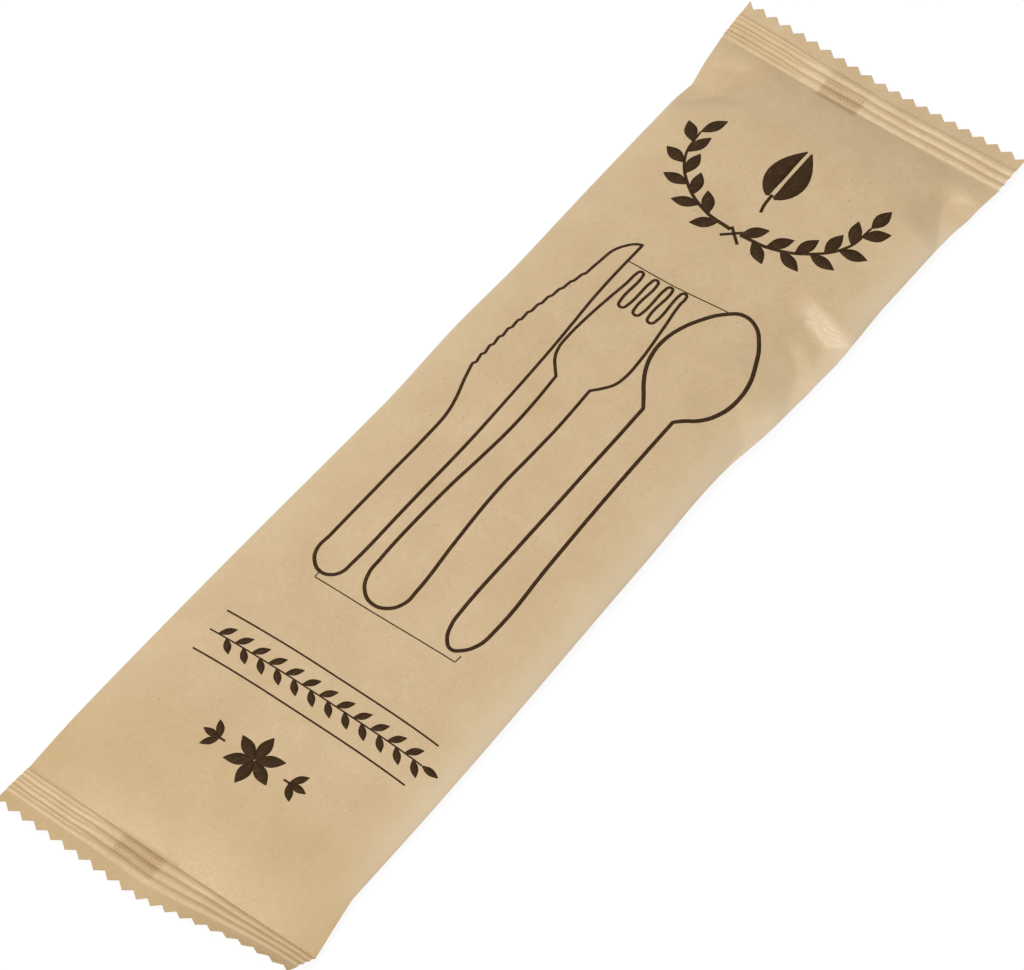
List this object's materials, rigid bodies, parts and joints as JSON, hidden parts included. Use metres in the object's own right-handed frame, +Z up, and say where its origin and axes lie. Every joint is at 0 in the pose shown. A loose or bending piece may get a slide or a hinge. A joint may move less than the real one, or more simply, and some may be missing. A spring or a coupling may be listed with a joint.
{
  "type": "wooden cutlery kit",
  "caption": "Sealed kraft paper flow-wrap pack that holds a set of disposable wooden cutlery and a napkin, with crimped toothed end seals and a back seam",
  "frame": {"origin": "bottom centre of the pack's box, on the surface that it lies on", "axes": "+X along the pack to its top end, +Y across it to its left side, +Z up out of its printed front"},
  "size_m": [0.245, 0.0722, 0.008],
  "materials": {
    "kraft_paper": "uncoated brown kraft, matt, with fine fibres and flecks",
    "printing_ink": "dark brown water-based ink, matt, printed on the front of the paper"
  },
  "bodies": {
    "root": {"sealed_kraft_pack": "kraft_paper"}
  },
  "joints": []
}
